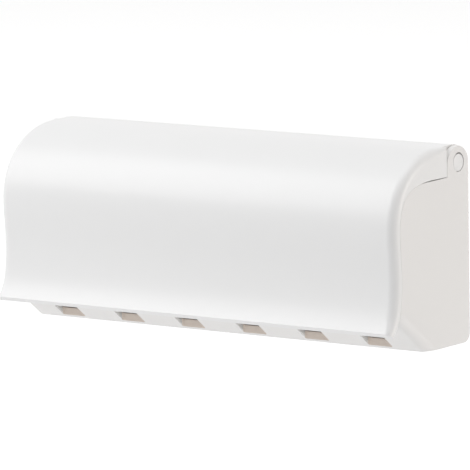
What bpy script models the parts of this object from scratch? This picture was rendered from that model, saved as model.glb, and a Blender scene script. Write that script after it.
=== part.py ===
"""Wall-mounted toothbrush holder: a hollow case with a flip-up lid and a slotted brush rack.

X runs along the length, Y points into the wall and Z is up. Heights are counted from the flat
underside of the case, depths from the wall plane towards the room. The origin of the whole
object is a point on the back face of the case, WALL_POINT_HEIGHT above that underside.
"""

import math

import bmesh
import bpy
from mathutils import Matrix, Vector

# Whole object
LENGTH = 0.2433
TOP_HEIGHT = 0.0999
WALL_POINT_HEIGHT = 0.0500

# Hinge: the axis, the ears of the case, the arms of the lid and the pins
HINGE_DEPTH = 0.0090
HINGE_BELOW_TOP = 0.0089
EAR_DEPTH = 0.0192
EAR_RADIUS = 0.0098
EAR_TOP_DROP = 0.0004
EAR_FACE_GAP = 0.00025
EAR_SIDE_GAP = 0.00025
ARM_THICKNESS = 0.0032
ARM_RADIUS = 0.0063
ARM_REACH = 0.0340
PIN_HEAD_RADIUS = 0.00445
PIN_HEAD_ROUND = 0.0003
PIN_HEAD_RECESS = 0.0001
PIN_PLAY = 0.0004
PIN_DROP = 0.00025
PIN_SHOULDER_GAP = 0.0001
PIN_SHANK_RADIUS = 0.0030
PIN_SHANK_FIT = 0.0001
PIN_SHANK_PROUD = 0.0010
PIN_CHAMFER = 0.0005

# Lid: its outer face from the flat top over the shoulder to the lip
LID_WALL = 0.0025
LIP_WALL = 0.0038
LID_END_WALL = 0.0030
LID_END_ROUND = 0.0049
BARREL_END_ROUND = 0.0016
SHOULDER_DEPTH = 0.0250
BULGE_DEPTH = 0.0670
BULGE_HEIGHT = 0.0625
WAIST_DEPTH = 0.0657
WAIST_HEIGHT = 0.0380
LIP_DEPTH = 0.0718
LIP_HEIGHT = 0.0137
LIP_SPLAY = 42.0
SHOULDER_PULL = 0.57
BULGE_REACH = 0.0090
WAIST_REACH = 0.0090
LIP_REACH = 0.0060
BARREL_TAIL = -40.0

# Parting line between the lid's end flanges and the end walls of the case
FLANGE_DEPTH = 0.0054
PARTING_GAP = 0.0002
PARTING_ROUND = 0.00012
LID_EAR_BELOW_HINGE = 0.0060
LID_EAR_BEND_DEPTH = 0.0300
LID_EAR_BEND_DROP = 0.0080
SLIT_SAG = 0.0003
SLIT_END_DEPTH = 0.0420

# Case
BACK_WALL = 0.0030
END_WALL = 0.0030
FLOOR_WALL = 0.0030
FLAT_DEPTH = 0.0383
INCLINE = 37.0
BOTTOM_BACK_CORNER = 0.0050
INCLINE_END_ROUND = 0.0050
CASE_EDGE_ROUND = 0.0006
RIM_HEIGHT = 0.0070
RIM_WALL = 0.0025
SWEEP_CLEARANCE = 0.0004

# Brush positions and the slots that let the handles hang out of the case
BRUSH_COUNT = 6
BRUSH_PITCH = 0.0380
SLOT_WIDTH = 0.0145
SLOT_SETBACK = 0.0024
SLOT_CORNER = 0.0010

# Brush rack, carried by a ledge on three walls of the case
RACK_HEIGHT = 0.0560
RACK_WALL = 0.0025
RACK_DEPTH = 0.0570
RACK_FLANGE = 0.0080
RACK_BEND = 0.0030
RACK_GAP = 0.0003
NECK_WIDTH = 0.0080
NECK_DEPTH = 0.0480
MOUTH_WIDTH = 0.0130
MOUTH_LENGTH = 0.0050
LEDGE_WIDTH = 0.0040
LEDGE_THICKNESS = 0.0020
NUB_LENGTH = 0.0120
NUB_HEIGHT = 0.0020
NUB_PROUD = 0.0010

# Wall fixing: keyholes for two screws and recesses for two strips of foam tape
KEYHOLE_SPACING = 0.1500
KEYHOLE_ENTRY_RADIUS = 0.0045
KEYHOLE_SLOT_RADIUS = 0.0023
KEYHOLE_RISE = 0.0090
KEYHOLE_PAD_MARGIN = 0.0030
KEYHOLE_PAD_THICKNESS = 0.0015
TAPE_END_MARGIN = 0.02665
TAPE_HEIGHT = 0.0270
TAPE_LENGTH = 0.0700
TAPE_WIDTH = 0.0200
TAPE_THICKNESS = 0.0009
TAPE_CORNER = 0.0020
TAPE_GAP = 0.0003

# Fineness of the curves
CURVE_STEPS = 20
CORNER_STEPS = 5
ROUND_STEPS = 6
CIRCLE_STEPS = 32
GENTLE_TURN = 0.3
SMOOTH_UP_TO = 30.0
SAME_POINT = 0.00001

HALF = LENGTH / 2
HINGE = Vector((-HINGE_DEPTH, TOP_HEIGHT - HINGE_BELOW_TOP))
BARREL_RADIUS = HINGE_BELOW_TOP
LID_EAR_BACK = -(EAR_DEPTH + EAR_FACE_GAP)
LID_EAR_FOOT = HINGE.y - LID_EAR_BELOW_HINGE
ARM_FACE = HALF - END_WALL - EAR_SIDE_GAP
TAPE_MIDDLE = HALF - TAPE_END_MARGIN - TAPE_LENGTH / 2
BACK_WALL_TOP = HINGE.y - math.sqrt(
    max((BARREL_RADIUS + SWEEP_CLEARANCE) ** 2 - (HINGE_DEPTH - BACK_WALL) ** 2, 0)
)
BEYOND = 0.010


def point(y, z):
    """A point of an outline: y along the depth, z the height."""
    return Vector((y, z))


def arc(centre, radius, start, end, steps):
    """Points from one angle to another, in degrees from the first axis to the second."""
    points = []
    for step in range(steps + 1):
        angle = math.radians(start + (end - start) * step / steps)
        points.append(Vector(centre) + radius * Vector((math.cos(angle), math.sin(angle))))
    return points


def bezier(first, first_handle, last_handle, last, steps):
    """Points of one cubic curve, both ends included."""
    points = []
    for step in range(steps + 1):
        t = step / steps
        s = 1 - t
        points.append(
            s ** 3 * first
            + 3 * s * s * t * first_handle
            + 3 * s * t * t * last_handle
            + t ** 3 * last
        )
    return points


def path_normals(path):
    """Unit normals on the left-hand side of an open path."""
    normals = []
    last = len(path) - 1
    for index in range(len(path)):
        along = path[min(index + 1, last)] - path[max(index - 1, 0)]
        normals.append(Vector((-along.y, along.x)).normalized())
    return normals


def offset_path(path, distances):
    """The path moved to its left-hand side, by one distance or one for each point."""
    if isinstance(distances, float):
        distances = [distances] * len(path)
    return [p + n * d for p, n, d in zip(path, path_normals(path), distances)]


def crossing(first, second, line_point, line_direction):
    """Where the segment from first to second meets a line."""
    normal = Vector((-line_direction.y, line_direction.x))
    share = (line_point - first).dot(normal) / (second - first).dot(normal)
    return first + (second - first) * share


def inset_outline(outline, distances):
    """A closed counterclockwise outline with each edge moved inwards by its own distance."""
    count = len(outline)
    inset = []
    for index, corner in enumerate(outline):
        before = (corner - outline[index - 1]).normalized()
        after = (outline[(index + 1) % count] - corner).normalized()
        normal_before = Vector((-before.y, before.x))
        normal_after = Vector((-after.y, after.x))
        far_before = distances[index - 1]
        far_after = distances[index]
        turn = before.x * after.y - before.y * after.x
        if abs(turn) < GENTLE_TURN:
            normal = (normal_before + normal_after).normalized()
            distance = (far_before + far_after) / 2 / normal.dot(normal_before)
            inset.append(corner + normal * distance)
        else:
            inset.append(corner + (after * far_before - before * far_after) / turn)
    return inset


def loft(name, rings):
    """One closed body through rings of equally many points, capped at both ends."""
    bm = bmesh.new()
    loops = [[bm.verts.new(p) for p in ring] for ring in rings]
    count = len(loops[0])
    for near, far in zip(loops, loops[1:]):
        for index in range(count):
            following = (index + 1) % count
            bm.faces.new((near[index], near[following], far[following], far[index]))
    bm.faces.new(loops[0])
    bm.faces.new(loops[-1])
    bmesh.ops.recalc_face_normals(bm, faces=bm.faces)
    mesh = bpy.data.meshes.new(name)
    bm.to_mesh(mesh)
    bm.free()
    body = bpy.data.objects.new(name, mesh)
    bpy.context.scene.collection.objects.link(body)
    return body


def prism(name, outline, low, high, axis="X"):
    """An outline extruded along an axis; its two numbers are the other axes in their order."""
    def ring(level):
        if axis == "X":
            return [Vector((level, p[0], p[1])) for p in outline]
        if axis == "Y":
            return [Vector((p[0], level, p[1])) for p in outline]
        return [Vector((p[0], p[1], level)) for p in outline]
    return loft(name, [ring(low), ring(high)])


def rounded_prism(name, outline, half_length, rounds):
    """An outline extruded along X to both sides, each edge with its own round at the ends."""
    sections = []
    for step in range(ROUND_STEPS + 1):
        angle = math.radians(90 * step / ROUND_STEPS)
        inset = inset_outline(outline, [r * (1 - math.cos(angle)) for r in rounds])
        widest = [max(rounds[index - 1], rounds[index]) for index in range(len(rounds))]
        shifts = [half_length - r * (1 - math.sin(angle)) for r in widest]
        sections.append(list(zip(shifts, inset)))
    right = [[Vector((x, p.x, p.y)) for x, p in section] for section in sections]
    left = [[Vector((-x, p.x, p.y)) for x, p in section] for section in reversed(sections)]
    return loft(name, left + right)


def turned(name, profile, centre):
    """A body turned about the X axis through centre, from (x, radius) pairs."""
    rings = []
    for x, radius in profile:
        circle = arc(centre, radius, 0, 360, CIRCLE_STEPS)[:-1]
        rings.append([Vector((x, p.x, p.y)) for p in circle])
    return loft(name, rings)


def joined(name, bodies):
    """Several separate bodies as one object, for use as one cutter or one addition."""
    bm = bmesh.new()
    for body in bodies:
        bm.from_mesh(body.data)
    mesh = bpy.data.meshes.new(name)
    bm.to_mesh(mesh)
    bm.free()
    for body in bodies:
        bpy.data.objects.remove(body)
    group = bpy.data.objects.new(name, mesh)
    bpy.context.scene.collection.objects.link(group)
    return group


def combine(target, tool, operation):
    """Cut the tool from the target, or weld it on, with a live Boolean modifier."""
    tool.hide_render = True
    tool.display_type = "WIRE"
    modifier = target.modifiers.new(tool.name, "BOOLEAN")
    modifier.operation = operation
    modifier.solver = "EXACT"
    modifier.object = tool


def brush_places():
    """The X of each brush, spaced evenly about the middle."""
    middle = (BRUSH_COUNT - 1) / 2
    return [(index - middle) * BRUSH_PITCH for index in range(BRUSH_COUNT)]


def lid_face():
    """Outer face of the lid in front of the ears: flat top, shoulder, bulge, waist and lip."""
    ear_top = point(LID_EAR_BACK, TOP_HEIGHT)
    shoulder = point(-SHOULDER_DEPTH, TOP_HEIGHT)
    bulge = point(-BULGE_DEPTH, BULGE_HEIGHT)
    waist = point(-WAIST_DEPTH, WAIST_HEIGHT)
    lip = point(-LIP_DEPTH, LIP_HEIGHT)
    forward = point(-(BULGE_DEPTH - SHOULDER_DEPTH) * SHOULDER_PULL, 0)
    upward = point(0, (TOP_HEIGHT - BULGE_HEIGHT) * SHOULDER_PULL)
    splay = math.radians(LIP_SPLAY)
    lip_handle = lip + LIP_REACH * point(math.sin(splay), math.cos(splay))
    path = [ear_top]
    path += bezier(shoulder, shoulder + forward, bulge + upward, bulge, CURVE_STEPS)
    path += bezier(
        bulge, bulge - point(0, BULGE_REACH), waist + point(0, WAIST_REACH), waist, CURVE_STEPS // 2
    )[1:]
    path += bezier(
        waist, waist - point(0, WAIST_REACH), lip_handle, lip, CURVE_STEPS // 2
    )[1:]
    return path


def wall_depths():
    """Thickness of the lid's sheet behind each point of its face; it swells from waist to lip."""
    depths = []
    for p in lid_face():
        share = min(max((WAIST_HEIGHT - p.y) / (WAIST_HEIGHT - LIP_HEIGHT), 0), 1)
        depths.append(LID_WALL + (LIP_WALL - LID_WALL) * share ** 2)
    return depths


def incline_line():
    """A point and the direction, forwards and up, of the inclined underside."""
    angle = math.radians(INCLINE)
    return point(-FLAT_DEPTH, 0), point(-math.cos(angle), math.sin(angle))


def flange_depths():
    """Depth of the lid's end flange behind each point of its face.

    It is even down to the height where the inclined underside of the case meets the lid,
    and from there it draws in to the thickness of the lip.
    """
    meeting_height = (BULGE_DEPTH - FLAT_DEPTH) * math.tan(math.radians(INCLINE))
    depths = []
    for p in lid_face():
        share = min(max((p.y - LIP_HEIGHT) / (meeting_height - LIP_HEIGHT), 0), 1)
        depths.append(LIP_WALL + (FLANGE_DEPTH - LIP_WALL) * share)
    return depths


def parting_path():
    """Inner edge of the lid's end flange, from the ear of the case forwards and down to the lip.

    Behind the shoulder the flange is an ear with a level foot, which bends into the line that
    the flange keeps behind the face.
    """
    inner = offset_path(lid_face(), flange_depths())
    front = [p for p in inner if p.y < LID_EAR_FOOT - LID_EAR_BEND_DROP]
    bend_start = point(-LID_EAR_BEND_DEPTH, LID_EAR_FOOT)
    tangent = (front[0] - front[1]).normalized()
    reach = (bend_start - front[0]).length / 3
    bend = bezier(
        bend_start, bend_start - point(reach, 0), front[0] + tangent * reach, front[0], CURVE_STEPS // 2
    )
    back = point(LID_EAR_BACK, LID_EAR_FOOT)
    level = [back.lerp(bend_start, step / 3) for step in range(3)]
    return level + bend + front[1:]


def case_front_edge():
    """Upper and front edge of the case's end walls, down to the inclined underside.

    It keeps PARTING_GAP to the lid's flange and sags a little under the ear, where the
    finished object shows a thin slit.
    """
    path = parting_path()
    gaps = []
    for p in path:
        share = (LID_EAR_BACK - p.x) / (LID_EAR_BACK + SLIT_END_DEPTH)
        sag = SLIT_SAG * math.sin(math.pi * share) if 0 < share < 1 else 0
        gaps.append(PARTING_GAP + sag)
    edge = offset_path(path, gaps)
    edge[0] = point(-EAR_DEPTH, LID_EAR_FOOT - PARTING_GAP)
    start, direction = incline_line()
    normal = point(direction.y, -direction.x)
    kept = [p for p in edge if (p - start).dot(normal) > 0]
    following = edge[len(kept)]
    return kept + [crossing(kept[-1], following, start, direction)]


def material(name, colour, roughness):
    """A moulded plastic or foam of one colour."""
    plastic = bpy.data.materials.new(name)
    plastic.use_nodes = True
    shader = plastic.node_tree.nodes["Principled BSDF"]
    shader.inputs["Base Color"].default_value = (*colour, 1)
    shader.inputs["Roughness"].default_value = roughness
    shader.inputs["Metallic"].default_value = 0
    return plastic


def finish(body, plastic, frame, origin=Vector((0, 0, 0))):
    """Give a piece its material, put its own origin where it turns and parent it.

    Its cutters and additions take the same shift and follow it.
    """
    body.data.materials.append(plastic)
    body.data.transform(Matrix.Translation(-origin))
    body.data.shade_smooth()
    body.data.set_sharp_from_angle(angle=math.radians(SMOOTH_UP_TO))
    body.location = origin
    body.parent = frame
    for modifier in body.modifiers:
        modifier.object.data.transform(Matrix.Translation(-origin))
        modifier.object.parent = body


def case_outline():
    """Side view of the case, counterclockwise, and the end round of each of its edges."""
    outline = []
    rounds = []

    def add(points, radius):
        for p in points:
            if not outline or (p - outline[-1]).length > SAME_POINT:
                outline.append(p)
                rounds.append(radius)

    ear_middle = point(EAR_RADIUS - EAR_DEPTH, TOP_HEIGHT - EAR_TOP_DROP - EAR_RADIUS)
    wall_angle = math.degrees(math.acos(min(-ear_middle.x / EAR_RADIUS, 1)))
    add(arc(ear_middle, EAR_RADIUS, wall_angle, 180, CURVE_STEPS), CASE_EDGE_ROUND)
    add(case_front_edge(), PARTING_ROUND)
    rounds[-1] = INCLINE_END_ROUND
    round_end = -FLAT_DEPTH + INCLINE_END_ROUND / math.sin(math.radians(INCLINE))
    add([point(-FLAT_DEPTH, 0), point(round_end, 0)], CASE_EDGE_ROUND)
    low_corner = point(-BOTTOM_BACK_CORNER, BOTTOM_BACK_CORNER)
    add(arc(low_corner, BOTTOM_BACK_CORNER, 270, 360, CORNER_STEPS), CASE_EDGE_ROUND)
    return outline, rounds


def case_cavity():
    """Side view of the hollow: above the floor, behind the front rim and open to the front."""
    start, direction = incline_line()
    up = point(direction.y, -direction.x)
    inner_start = start + up * FLOOR_WALL
    edge = case_front_edge()
    rim_top = edge[-1].y + RIM_HEIGHT
    rim = [p for p in offset_path(edge, RIM_WALL) if p.y < rim_top]
    rim = [p for p in rim if (p - inner_start).dot(up) > 0]
    rim_back = rim[0].x if rim else edge[-1].x + RIM_WALL
    corner = crossing(point(rim_back, 0), point(rim_back, 1), inner_start, direction)
    floor_bend = crossing(point(0, FLOOR_WALL), point(-1, FLOOR_WALL), inner_start, direction)
    return [
        point(-BACK_WALL, FLOOR_WALL),
        point(-BACK_WALL, TOP_HEIGHT + BEYOND),
        point(-LIP_DEPTH - BEYOND, TOP_HEIGHT + BEYOND),
        point(-LIP_DEPTH - BEYOND, rim_top),
        point(rim_back, rim_top),
        corner,
        floor_bend,
    ]


def slot_outline(middle, back, front, width, corner):
    """Top view of one slot, open to the front, with two round corners at the back."""
    right = arc((middle + width / 2 - corner, back - corner), corner, 0, 90, CORNER_STEPS)
    left = arc((middle - width / 2 + corner, back - corner), corner, 90, 180, CORNER_STEPS)
    return [Vector((middle + width / 2, front))] + right + left + [Vector((middle - width / 2, front))]


def neck_outline(middle):
    """Top view of one rack slot: a round seat, a parallel neck and a flared mouth."""
    neck = NECK_WIDTH / 2
    mouth = MOUTH_WIDTH / 2
    front = -RACK_DEPTH - BEYOND
    seat = arc((middle, -NECK_DEPTH), neck, 0, 180, CIRCLE_STEPS // 2)
    flare = -RACK_DEPTH + MOUTH_LENGTH
    right = [Vector((middle + mouth, front)), Vector((middle + mouth, -RACK_DEPTH))]
    left = [Vector((middle - mouth, -RACK_DEPTH)), Vector((middle - mouth, front))]
    return right + [Vector((middle + neck, flare))] + seat + [Vector((middle - neck, flare))] + left


def keyhole_outline(middle, margin=0.0):
    """Front view of a keyhole: a round entry below a narrow slot that closes at the top.

    It lies halfway between the rack and the top of the back wall.
    """
    entry = KEYHOLE_ENTRY_RADIUS + margin
    slot = KEYHOLE_SLOT_RADIUS + margin
    meet = math.degrees(math.acos(slot / entry))
    low = (RACK_HEIGHT + BACK_WALL_TOP - KEYHOLE_RISE + KEYHOLE_ENTRY_RADIUS - KEYHOLE_SLOT_RADIUS) / 2
    below = arc((middle, low), entry, 180 - meet, 360 + meet, CIRCLE_STEPS)
    above = arc((middle, low + KEYHOLE_RISE), slot, 0, 180, CIRCLE_STEPS // 2)
    return below + above


def strip_outline(middle, grow=0.0):
    """Front view of a tape strip or of its recess."""
    half_long = TAPE_LENGTH / 2 + grow
    half_high = TAPE_WIDTH / 2 + grow
    radius = TAPE_CORNER + grow
    outline = []
    for quarter, (across, up) in enumerate([(1, 1), (-1, 1), (-1, -1), (1, -1)]):
        centre = (middle + across * (half_long - radius), TAPE_HEIGHT + up * (half_high - radius))
        outline += arc(centre, radius, 90 * quarter, 90 * quarter + 90, CORNER_STEPS)
    return outline


def ledge_outline():
    """Top view of the ledge that runs round the back and both ends of the case."""
    outer = HALF - END_WALL / 2
    inner = HALF - END_WALL - LEDGE_WIDTH
    back = -BACK_WALL / 2
    front = -RACK_DEPTH + RACK_WALL + RACK_GAP
    return [
        Vector((outer, back)),
        Vector((-outer, back)),
        Vector((-outer, front)),
        Vector((-inner, front)),
        Vector((-inner, -BACK_WALL - LEDGE_WIDTH)),
        Vector((inner, -BACK_WALL - LEDGE_WIDTH)),
        Vector((inner, front)),
        Vector((outer, front)),
    ]


def nub(side):
    """A small wedge on one end wall that holds the rack down on its ledge."""
    wall = HALF - END_WALL
    low = RACK_HEIGHT + RACK_GAP
    outline = [(wall + NUB_PROUD, low), (wall - NUB_PROUD, low), (wall + NUB_PROUD, low + NUB_HEIGHT * 2)]
    middle = -RACK_DEPTH / 2
    points = [Vector((side * x, z)) for x, z in outline]
    return prism("nub", points, middle - NUB_LENGTH / 2, middle + NUB_LENGTH / 2, "Y")


def make_case(frame, plastic):
    """The hollow case with its ears, ledge, slots, keyholes and tape recesses."""
    outline, rounds = case_outline()
    case = rounded_prism("case", outline, HALF, rounds)
    inside = HALF - END_WALL

    cavity = prism("case_cavity", case_cavity(), -inside, inside)
    combine(case, cavity, "DIFFERENCE")

    gap_between_ears = [
        point(BEYOND, BACK_WALL_TOP),
        point(BEYOND, TOP_HEIGHT + BEYOND),
        point(-BACK_WALL - BEYOND, TOP_HEIGHT + BEYOND),
        point(-BACK_WALL - BEYOND, BACK_WALL_TOP),
    ]
    combine(case, prism("case_hinge_gap", gap_between_ears, -inside, inside), "DIFFERENCE")

    ledge_low = RACK_HEIGHT - RACK_WALL - RACK_GAP - LEDGE_THICKNESS
    ledge = prism("case_ledge", ledge_outline(), ledge_low, ledge_low + LEDGE_THICKNESS, "Z")
    combine(case, ledge, "UNION")
    combine(case, joined("case_nubs", [nub(-1), nub(1)]), "UNION")

    middles = [-KEYHOLE_SPACING / 2, KEYHOLE_SPACING / 2]
    pad_face = -BACK_WALL - KEYHOLE_PAD_THICKNESS
    pads = [
        prism("pad", keyhole_outline(x, KEYHOLE_PAD_MARGIN), pad_face, -BACK_WALL / 2, "Y")
        for x in middles
    ]
    combine(case, joined("case_keyhole_pads", pads), "UNION")
    holes = [prism("hole", keyhole_outline(x), pad_face - BEYOND, BEYOND, "Y") for x in middles]
    combine(case, joined("case_keyholes", holes), "DIFFERENCE")

    recess_floor = -TAPE_THICKNESS - TAPE_GAP
    recesses = [
        prism("recess", strip_outline(x, TAPE_GAP), recess_floor, BEYOND, "Y")
        for x in (-TAPE_MIDDLE, TAPE_MIDDLE)
    ]
    combine(case, joined("case_tape_recesses", recesses), "DIFFERENCE")

    slot_back = -FLAT_DEPTH - SLOT_SETBACK * math.cos(math.radians(INCLINE))
    slot_top = case_front_edge()[-1].y + RIM_HEIGHT + BEYOND
    slots = [
        prism(
            "slot",
            slot_outline(x, slot_back, -LIP_DEPTH - BEYOND, SLOT_WIDTH, SLOT_CORNER),
            -BEYOND,
            slot_top,
            "Z",
        )
        for x in brush_places()
    ]
    combine(case, joined("case_slots", slots), "DIFFERENCE")

    hole_centre = HINGE + point(0, PIN_DROP)
    hole_radius = PIN_HEAD_RADIUS + PIN_PLAY
    bores = [
        turned(
            "bore",
            [(side * (inside - BEYOND), hole_radius), (side * (HALF + BEYOND), hole_radius)],
            hole_centre,
        )
        for side in (-1, 1)
    ]
    combine(case, joined("case_pin_holes", bores), "DIFFERENCE")
    finish(case, plastic, frame)


def lid_outline():
    """Side view of the lid with its end flanges, and the end round of each edge.

    The outer side runs from the tail of the barrel that wraps the hinge axis, over the flat
    top and down the face to the lip. The inner side returns along the flange.
    """
    barrel = arc(HINGE, BARREL_RADIUS, BARREL_TAIL, 90, CURVE_STEPS)
    barrel_inner = arc(HINGE, BARREL_RADIUS - LID_WALL, 90, BARREL_TAIL, CURVE_STEPS)
    face = lid_face()
    inner = list(reversed(parting_path()))
    under_top = point(LID_EAR_BACK, TOP_HEIGHT - LID_WALL)
    outline = barrel + face + inner + [under_top] + barrel_inner
    depths = flange_depths()
    thinnest = [min(pair) for pair in zip(depths, depths[1:])]
    face_rounds = [min(LID_END_ROUND, depth - 4 * PARTING_ROUND) for depth in thinnest]
    rounds = (
        [min(BARREL_END_ROUND, LID_WALL - 4 * PARTING_ROUND)] * (len(barrel) + 1)
        + face_rounds[1:]
        + [PARTING_ROUND] * (len(inner) + 2)
        + [PARTING_ROUND] * len(barrel_inner)
    )
    return outline, rounds


def lid_hollow():
    """Side view of what is taken out of the lid between its two end flanges."""
    face = lid_face()
    inner = offset_path(face, wall_depths())
    inner[0] = point(LID_EAR_BACK + EAR_FACE_GAP, TOP_HEIGHT - LID_WALL)
    past_lip = inner[-1] + (inner[-1] - inner[-2]).normalized() * BEYOND
    back = LID_EAR_BACK + EAR_FACE_GAP
    return inner + [past_lip, point(back, past_lip.y)]


def arm_outline():
    """Side view of a hinge arm: a disc about the axis that runs out under the top."""
    weld = TOP_HEIGHT - LID_WALL / 2
    disc = arc(HINGE, ARM_RADIUS, 50, -120, CIRCLE_STEPS // 2)
    return disc + [point(-ARM_REACH, weld), point(-HINGE_DEPTH, weld)]


def make_lid(hinge, plastic):
    """The flip-up lid: a bent sheet with end flanges, a hinge barrel and two hinge arms."""
    outline, rounds = lid_outline()
    lid = rounded_prism("lid", outline, HALF, rounds)
    inside = HALF - LID_END_WALL
    combine(lid, prism("lid_hollow", lid_hollow(), -inside, inside), "DIFFERENCE")

    arms = []
    notches = []
    bores = []
    for side in (-1, 1):
        ends = sorted((side * (ARM_FACE - ARM_THICKNESS), side * ARM_FACE))
        arms.append(prism("arm", arm_outline(), *ends))
        ends = sorted((side * ARM_FACE, side * (HALF + BEYOND)))
        notch = [
            point(LID_EAR_BACK, 0),
            point(BEYOND, 0),
            point(BEYOND, TOP_HEIGHT + BEYOND),
            point(LID_EAR_BACK, TOP_HEIGHT + BEYOND),
        ]
        notches.append(prism("notch", notch, *ends))
        bore = PIN_SHANK_RADIUS + PIN_SHANK_FIT
        far = side * (ARM_FACE + BEYOND)
        near = side * (ARM_FACE - ARM_THICKNESS - BEYOND)
        bores.append(turned("bore", [(near, bore), (far, bore)], HINGE))
    combine(lid, joined("lid_ear_notches", notches), "DIFFERENCE")
    combine(lid, joined("lid_arms", arms), "UNION")
    combine(lid, joined("lid_bores", bores), "DIFFERENCE")
    finish(lid, plastic, hinge, Vector((0, HINGE.x, HINGE.y)))


def make_pin(name, side, hinge, plastic):
    """A stub pin: its head turns in the ear, its shank is pressed into the lid's arm."""
    face = HALF - PIN_HEAD_RECESS
    shoulder = ARM_FACE + PIN_SHOULDER_GAP
    tip = ARM_FACE - ARM_THICKNESS - PIN_SHANK_PROUD
    halfway = PIN_HEAD_ROUND * (1 - math.cos(math.radians(45)))
    profile = [
        (face, PIN_HEAD_RADIUS - PIN_HEAD_ROUND),
        (face - halfway, PIN_HEAD_RADIUS - halfway),
        (face - PIN_HEAD_ROUND, PIN_HEAD_RADIUS),
        (shoulder, PIN_HEAD_RADIUS),
        (shoulder, PIN_SHANK_RADIUS),
        (tip + PIN_CHAMFER, PIN_SHANK_RADIUS),
        (tip, PIN_SHANK_RADIUS - PIN_CHAMFER),
    ]
    pin = turned(name, [(side * x, radius) for x, radius in profile], HINGE)
    finish(pin, plastic, hinge, Vector((side * ARM_FACE, HINGE.x, HINGE.y)))


def make_rack(frame, plastic):
    """The lift-out rack that the brush heads rest on, one flared slot for each neck."""
    back = -BACK_WALL - RACK_GAP
    front = -RACK_DEPTH
    top = RACK_HEIGHT
    low = top - RACK_WALL
    bend = RACK_BEND
    outline = [point(back, top)]
    outline += arc((front + bend, top - bend), bend, 90, 180, CORNER_STEPS)
    outline += [point(front, top - RACK_FLANGE), point(front + RACK_WALL, top - RACK_FLANGE)]
    outline += [point(front + RACK_WALL, low), point(back, low)]
    half = HALF - END_WALL - RACK_GAP
    rack = rounded_prism("brush_rack", outline, half, [RACK_GAP] * len(outline))
    necks = [
        prism("neck", neck_outline(x), top - RACK_FLANGE - BEYOND, top + BEYOND, "Z")
        for x in brush_places()
    ]
    combine(rack, joined("rack_necks", necks), "DIFFERENCE")
    finish(rack, plastic, frame)


def make_tape(name, side, frame, foam):
    """A strip of foam tape that lies in its recess, flush with the back face."""
    strip = prism(name, strip_outline(side * TAPE_MIDDLE), -TAPE_THICKNESS, 0.0, "Y")
    finish(strip, foam, frame)


def make_holder():
    """Build every piece under one empty at the point on the wall."""
    for leftover in list(bpy.context.scene.objects):
        bpy.data.objects.remove(leftover)

    frame = bpy.data.objects.new("holder_frame", None)
    frame.location = (0, 0, -WALL_POINT_HEIGHT)
    bpy.context.scene.collection.objects.link(frame)

    case_plastic = material("case_plastic", (0.84, 0.80, 0.76), 0.28)
    lid_plastic = material("lid_plastic", (0.88, 0.88, 0.88), 0.16)
    rack_plastic = material("rack_plastic", (0.80, 0.77, 0.73), 0.35)
    foam = material("tape_foam", (0.55, 0.56, 0.57), 0.90)

    make_case(frame, case_plastic)
    make_lid(frame, lid_plastic)
    make_rack(frame, rack_plastic)
    for label, side in (("left", -1), ("right", 1)):
        make_pin("hinge_pin_" + label, side, frame, lid_plastic)
        make_tape("wall_tape_" + label, side, frame, foam)


make_holder()
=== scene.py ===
"""Looks of the wall-mounted toothbrush holder: white moulded plastic on a white ground."""

import math

import bmesh
import bpy
from mathutils import Matrix, Vector
from mathutils.bvhtree import BVHTree


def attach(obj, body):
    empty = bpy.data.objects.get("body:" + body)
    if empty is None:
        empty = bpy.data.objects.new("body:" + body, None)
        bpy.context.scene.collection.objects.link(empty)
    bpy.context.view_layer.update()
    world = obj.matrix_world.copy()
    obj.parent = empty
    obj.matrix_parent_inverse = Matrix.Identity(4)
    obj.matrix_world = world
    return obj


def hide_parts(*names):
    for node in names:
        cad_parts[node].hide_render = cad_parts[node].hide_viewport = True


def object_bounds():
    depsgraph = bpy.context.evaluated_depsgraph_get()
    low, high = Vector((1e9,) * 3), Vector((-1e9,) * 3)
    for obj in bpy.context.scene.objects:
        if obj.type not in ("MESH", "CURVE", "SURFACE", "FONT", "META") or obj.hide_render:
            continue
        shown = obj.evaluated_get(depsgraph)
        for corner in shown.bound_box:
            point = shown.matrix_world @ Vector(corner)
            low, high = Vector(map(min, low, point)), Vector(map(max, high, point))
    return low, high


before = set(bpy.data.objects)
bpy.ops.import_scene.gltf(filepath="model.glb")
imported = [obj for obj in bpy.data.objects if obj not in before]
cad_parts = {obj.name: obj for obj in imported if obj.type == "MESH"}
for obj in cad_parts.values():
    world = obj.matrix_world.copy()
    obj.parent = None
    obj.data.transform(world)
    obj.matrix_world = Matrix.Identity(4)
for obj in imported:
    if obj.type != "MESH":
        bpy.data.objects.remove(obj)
cad_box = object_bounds()

# The holder's box in the frame: its underside, half its length and the wall behind it
UNDERSIDE = cad_box[0][2]
HALF_LENGTH = cad_box[1][0]
WALL = cad_box[1][1]

# Camera: where the photograph was taken from, seen from a point at the underside's height
CAMERA_TURN = math.radians(35.691)
CAMERA_RISE = math.radians(8.44)
CAMERA_ROLL = math.radians(-0.998)
CAMERA_DISTANCE = 2.8644
CAMERA_ACROSS = 0.018315
CAMERA_UP = -0.04431
CAMERA_NEAR = 0.05
CAMERA_FAR = 50.0
FOCAL_PIXELS = 5611.7
IMAGE_PIXELS = 470
SENSOR_WIDTH = 36.0

# Finish of the moulded edges
WELD = 0.000002
FLAT_ANGLE = math.radians(0.4)
SHARP_ANGLE = math.radians(32)
EDGE_ROUND = 0.0001
EDGE_STEPS = 2

# Seam between the lid's flanges and the case's ends, drawn finer than the solids' clearance
SEAM_FROM_DEPTH = 0.0405
FLANGE_WIDTH = 0.0035
SEAM_REACH = 0.0006
SEAM_LEFT = 0.00003

# Case: its materials, and what tells its outer walls from its inner ones (painted shade, warm
# beige) and from its slots' sides (painted light, lighter cream)
OUTSIDE, PAINTED_SHADE_INSIDE, SLOT_SIDES_PAINTED_LIGHT = range(3)
BACK_SKIN = 0.0012
END_WALL = 0.0035
SLOTS_UP_TO = 0.019
FACES_DOWN = -0.3
FACES_ACROSS = 0.9

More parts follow.
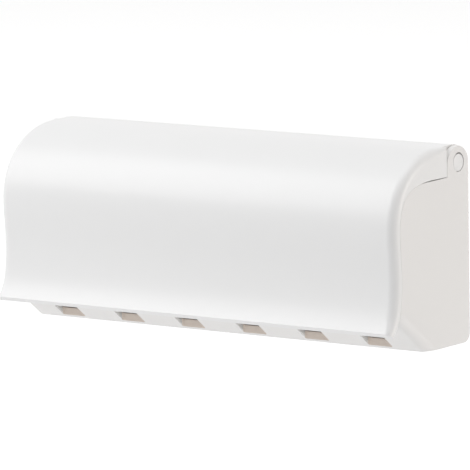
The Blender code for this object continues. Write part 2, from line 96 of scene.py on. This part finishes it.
# Plastics: what they all share
REFRACTION = 1.49
CLOUD_SCALE = 18.0
CLOUD_DETAIL = 3.0
GLOSS_SPREAD = 0.15
GRAIN_DETAIL = 2.0
GRAIN_DEPTH = 0.0001

# How far light travels inside the plastic, where it shows at the thin walls of the slots
SEEP_DEPTH = 0.006

# Colours
LID_WHITE = (0.88, 0.88, 0.88)
CASE_WHITE = (0.86, 0.85, 0.84)
# Painted shade: a warm beige on the case's inner walls, standing in for the warm shade inside the
# case and its slots
INSIDE_PAINTED_SHADE_BEIGE = (0.87, 0.765, 0.68)
# Painted light: a cream lighter than the case's white on the slots' side walls, standing in for
# light that reaches them
SLOT_PAINTED_LIGHT_CREAM = (0.95, 0.915, 0.88)
RACK_BEIGE = (0.86, 0.81, 0.75)
FOAM_GREY = (0.55, 0.56, 0.57)
FLOOR_WHITE = (0.9, 0.9, 0.9)
WHITE = (1.0, 1.0, 1.0)
WARM = (1.0, 0.94, 0.88)

# Ground
FLOOR_DROP = 0.30
FLOOR_SIZE = 14.0
FLOOR_ROUGHNESS = 0.9
FLOOR_LIFT = 0.4

# Light: a white surrounding and three soft lamps
WORLD_LIGHT = 0.32
BACKDROP_LIGHT = 1.0
LAMP_DISTANCE = 6.0


def place_camera():
    """The camera of the photograph, with its slight roll."""
    view = Vector((
        -math.sin(CAMERA_TURN) * math.cos(CAMERA_RISE),
        math.cos(CAMERA_TURN) * math.cos(CAMERA_RISE),
        -math.sin(CAMERA_RISE),
    ))
    level = Vector((math.cos(CAMERA_TURN), math.sin(CAMERA_TURN), 0))
    upright = level.cross(view)
    right = level * math.cos(CAMERA_ROLL) + upright * math.sin(CAMERA_ROLL)
    up = upright * math.cos(CAMERA_ROLL) - level * math.sin(CAMERA_ROLL)
    target = Vector((0, 0, UNDERSIDE)) - CAMERA_ACROSS * right - CAMERA_UP * up
    place = target - CAMERA_DISTANCE * view
    data = bpy.data.cameras.new("photo_camera")
    data.sensor_width = SENSOR_WIDTH
    data.lens = FOCAL_PIXELS / IMAGE_PIXELS * SENSOR_WIDTH
    data.clip_start = CAMERA_NEAR
    data.clip_end = CAMERA_FAR
    camera = bpy.data.objects.new("photo_camera", data)
    camera.matrix_world = Matrix((
        (right.x, up.x, -view.x, place.x),
        (right.y, up.y, -view.y, place.y),
        (right.z, up.z, -view.z, place.z),
        (0, 0, 0, 1),
    ))
    bpy.context.scene.collection.objects.link(camera)
    bpy.context.scene.camera = camera


def moulded_plastic(name, colour, roughness, spread, ripple, grain, seep=0.0):
    """Moulded plastic or foam: a trace of unevenness in its colour, gloss and surface.

    spread is how far the colour varies, ripple and grain are the strength and the fineness of
    the surface's bumps, and seep is the share of the light that travels inside the wall before
    it comes out again.
    """
    material = bpy.data.materials.new(name)
    material.use_nodes = True
    nodes = material.node_tree.nodes
    links = material.node_tree.links
    shader = nodes["Principled BSDF"]
    shader.inputs["IOR"].default_value = REFRACTION
    shader.inputs["Subsurface Weight"].default_value = seep
    shader.inputs["Subsurface Radius"].default_value = (1, 1, 1)
    shader.inputs["Subsurface Scale"].default_value = SEEP_DEPTH
    place = nodes.new("ShaderNodeTexCoord")

    cloud = nodes.new("ShaderNodeTexNoise")
    cloud.inputs["Scale"].default_value = CLOUD_SCALE
    cloud.inputs["Detail"].default_value = CLOUD_DETAIL
    links.new(place.outputs["Object"], cloud.inputs["Vector"])
    tint = nodes.new("ShaderNodeMixRGB")
    tint.inputs["Color1"].default_value = (*[part * (1 - spread) for part in colour], 1)
    tint.inputs["Color2"].default_value = (*[min(part * (1 + spread), 1) for part in colour], 1)
    links.new(cloud.outputs["Fac"], tint.inputs["Fac"])
    links.new(tint.outputs["Color"], shader.inputs["Base Color"])

    gloss = nodes.new("ShaderNodeMapRange")
    gloss.inputs["To Min"].default_value = roughness * (1 - GLOSS_SPREAD)
    gloss.inputs["To Max"].default_value = roughness * (1 + GLOSS_SPREAD)
    links.new(cloud.outputs["Fac"], gloss.inputs["Value"])
    links.new(gloss.outputs["Result"], shader.inputs["Roughness"])

    fine = nodes.new("ShaderNodeTexNoise")
    fine.inputs["Scale"].default_value = grain
    fine.inputs["Detail"].default_value = GRAIN_DETAIL
    links.new(place.outputs["Object"], fine.inputs["Vector"])
    bump = nodes.new("ShaderNodeBump")
    bump.inputs["Strength"].default_value = ripple
    bump.inputs["Distance"].default_value = GRAIN_DEPTH
    links.new(fine.outputs["Fac"], bump.inputs["Height"])
    links.new(bump.outputs["Normal"], shader.inputs["Normal"])
    return material


def welded(node):
    """The node's triangles as one closed surface with large flat faces."""
    form = bmesh.new()
    form.from_mesh(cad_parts[node].data)
    bmesh.ops.remove_doubles(form, verts=form.verts, dist=WELD)
    bmesh.ops.dissolve_limit(
        form,
        angle_limit=FLAT_ANGLE,
        use_dissolve_boundaries=False,
        verts=form.verts,
        edges=form.edges,
    )
    return form


def close_seam(lid):
    """Draws the rims of the lid's flanges to the case's ends, from the slit's end to the lip."""
    case = welded("case")
    surface = BVHTree.FromBMesh(case)
    case.free()
    for vert in lid.verts:
        on_flange = abs(vert.co.x) >= HALF_LENGTH - FLANGE_WIDTH
        if not on_flange or vert.co.y > -SEAM_FROM_DEPTH:
            continue
        place, _, _, gap = surface.find_nearest(vert.co)
        if SEAM_LEFT < gap < SEAM_REACH:
            vert.co = place.lerp(vert.co, SEAM_LEFT / gap)


def mark_painted_shade_and_light(case):
    """Tells the case's outer walls, its inner walls and the sides of its slots apart: the inner
    walls get painted shade (a warm beige), the slots' side walls get painted light (a lighter
    cream).
    """
    for face in case.faces:
        middle = face.calc_center_median()
        at_end = abs(middle.x) > HALF_LENGTH - END_WALL
        across = abs(face.normal.x) > FACES_ACROSS
        inwards = across and face.normal.x * middle.x < 0
        under = face.normal.z < FACES_DOWN
        behind = middle.y > WALL - BACK_SKIN
        # Slot side walls get the painted light; the other inner walls get the painted shade
        if across and not at_end and middle.z < UNDERSIDE + SLOTS_UP_TO:
            face.material_index = SLOT_SIDES_PAINTED_LIGHT
        elif under or behind or (at_end and not inwards):
            face.material_index = OUTSIDE
        else:
            face.material_index = PAINTED_SHADE_INSIDE


def dressed(node, body, slot, *materials, shape=None):
    """Puts the node's shape with finely rounded, smoothly shaded edges in the node's place."""
    form = welded(node)
    if shape:
        shape(form)
    mesh = bpy.data.meshes.new(node + "_finish")
    form.to_mesh(mesh)
    form.free()
    for material in materials:
        mesh.materials.append(material)
    mesh.shade_smooth()
    mesh.set_sharp_from_angle(angle=SHARP_ANGLE)
    piece = bpy.data.objects.new(node + "_finish", mesh)
    bpy.context.scene.collection.objects.link(piece)
    bevel = piece.modifiers.new("edge_round", "BEVEL")
    bevel.width = EDGE_ROUND
    bevel.segments = EDGE_STEPS
    bevel.limit_method = "ANGLE"
    bevel.angle_limit = SHARP_ANGLE
    bevel.harden_normals = True
    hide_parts(node)
    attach(piece, body)


def seen_directly(nodes, links):
    """One for rays that show the ground: from the camera, in a reflection or through glass."""
    path = nodes.new("ShaderNodeLightPath")
    mirrored = nodes.new("ShaderNodeMath")
    mirrored.operation = "MAXIMUM"
    links.new(path.outputs["Is Camera Ray"], mirrored.inputs[0])
    links.new(path.outputs["Is Glossy Ray"], mirrored.inputs[1])
    through = nodes.new("ShaderNodeMath")
    through.operation = "MAXIMUM"
    links.new(mirrored.outputs["Value"], through.inputs[0])
    links.new(path.outputs["Is Transmission Ray"], through.inputs[1])
    return through.outputs["Value"]


def make_floor_material():
    """A matt white that is raised to white where it is seen, around the shadow."""
    material = bpy.data.materials.new("white_floor")
    material.use_nodes = True
    nodes = material.node_tree.nodes
    links = material.node_tree.links
    shader = nodes["Principled BSDF"]
    shader.inputs["Base Color"].default_value = (*FLOOR_WHITE, 1)
    shader.inputs["Roughness"].default_value = FLOOR_ROUGHNESS
    lift = nodes.new("ShaderNodeEmission")
    lift.inputs["Strength"].default_value = FLOOR_LIFT
    none = nodes.new("ShaderNodeEmission")
    none.inputs["Strength"].default_value = 0
    seen = nodes.new("ShaderNodeMixShader")
    both = nodes.new("ShaderNodeAddShader")
    links.new(seen_directly(nodes, links), seen.inputs["Fac"])
    links.new(none.outputs["Emission"], seen.inputs[1])
    links.new(lift.outputs["Emission"], seen.inputs[2])
    links.new(shader.outputs["BSDF"], both.inputs[0])
    links.new(seen.outputs["Shader"], both.inputs[1])
    links.new(both.outputs["Shader"], nodes["Material Output"].inputs["Surface"])
    return material


def make_ground():
    """A plain white floor well below the holder."""
    half = FLOOR_SIZE / 2
    height = UNDERSIDE - FLOOR_DROP
    corners = [(x * half, y * half, height) for x, y in ((-1, -1), (1, -1), (1, 1), (-1, 1))]
    mesh = bpy.data.meshes.new("floor")
    mesh.from_pydata(corners, [], [(0, 1, 2, 3)])
    mesh.materials.append(make_floor_material())
    floor = bpy.data.objects.new("floor", mesh)
    bpy.context.scene.collection.objects.link(floor)


def make_world():
    """An even white surrounding that shows as pure white behind the holder."""
    world = bpy.data.worlds.new("white_room")
    world.use_nodes = True
    bpy.context.scene.world = world
    nodes = world.node_tree.nodes
    links = world.node_tree.links
    room = nodes["Background"]
    room.inputs["Color"].default_value = (*WHITE, 1)
    room.inputs["Strength"].default_value = WORLD_LIGHT
    backdrop = nodes.new("ShaderNodeBackground")
    backdrop.inputs["Color"].default_value = (*WHITE, 1)
    backdrop.inputs["Strength"].default_value = BACKDROP_LIGHT
    choice = nodes.new("ShaderNodeMixShader")
    links.new(seen_directly(nodes, links), choice.inputs["Fac"])
    links.new(room.outputs["Background"], choice.inputs[1])
    links.new(backdrop.outputs["Background"], choice.inputs[2])
    links.new(choice.outputs["Shader"], nodes["World Output"].inputs["Surface"])


def soft_lamp(name, azimuth, elevation, width, height, watts, colour):
    """A rectangular soft lamp that faces the holder; azimuth counts from the front to the right."""
    data = bpy.data.lights.new(name, "AREA")
    data.shape = "RECTANGLE"
    data.size = width
    data.size_y = height
    data.energy = watts
    data.color = colour
    turn = math.radians(azimuth)
    rise = math.radians(elevation)
    away = Vector((
        math.sin(turn) * math.cos(rise),
        -math.cos(turn) * math.cos(rise),
        math.sin(rise),
    ))
    lamp = bpy.data.objects.new(name, data)
    lamp.location = away * LAMP_DISTANCE
    lamp.rotation_euler = away.to_track_quat("Z", "Y").to_euler()
    bpy.context.scene.collection.objects.link(lamp)


lid_plastic = moulded_plastic(
    "lid_plastic", LID_WHITE, roughness=0.34, spread=0.006, ripple=0.02, grain=350.0
)
case_plastic = moulded_plastic(
    "case_plastic", CASE_WHITE, roughness=0.30, spread=0.008, ripple=0.05, grain=500.0
)
# Painted shade: the case's inner walls in a warm beige, for the warm shade inside the case
case_inside_painted_shade = moulded_plastic(
    "case_inside_painted_shade", INSIDE_PAINTED_SHADE_BEIGE, roughness=0.42, spread=0.008, ripple=0.08, grain=500.0
)
# Painted light: the slots' side walls in a lighter cream, with seep on these faces only, for the
# light that reaches them
slot_sides_painted_light = moulded_plastic(
    "slot_sides_painted_light", SLOT_PAINTED_LIGHT_CREAM, roughness=0.34, spread=0.008, ripple=0.05, grain=500.0, seep=1.0
)
rack_plastic = moulded_plastic(
    "rack_plastic", RACK_BEIGE, roughness=0.34, spread=0.008, ripple=0.05, grain=500.0
)
tape_foam = moulded_plastic(
    "tape_foam", FOAM_GREY, roughness=0.90, spread=0.05, ripple=0.4, grain=1500.0
)

dressed("case", "housing", "case_plastic", case_plastic, case_inside_painted_shade, slot_sides_painted_light, shape=mark_painted_shade_and_light)
dressed("brush_rack", "housing", "rack_plastic", rack_plastic)
dressed("lid", "cover", "lid_plastic", lid_plastic, shape=close_seam)
for side in ("left", "right"):
    dressed("hinge_pin_" + side, "cover", "lid_plastic", lid_plastic)
    dressed("wall_tape_" + side, "housing", "tape_foam", tape_foam)

place_camera()
make_ground()
make_world()
soft_lamp(
    "left_softbox", azimuth=-46, elevation=38, width=5.4, height=5.0, watts=204.0, colour=WHITE
)
soft_lamp(
    "right_softbox", azimuth=119, elevation=9, width=3.0, height=3.0, watts=120.0, colour=WARM
)
soft_lamp(
    "top_softbox", azimuth=0, elevation=88, width=5.0, height=5.0, watts=110.0, colour=WHITE
)
bpy.context.scene.view_settings.view_transform = "Standard"
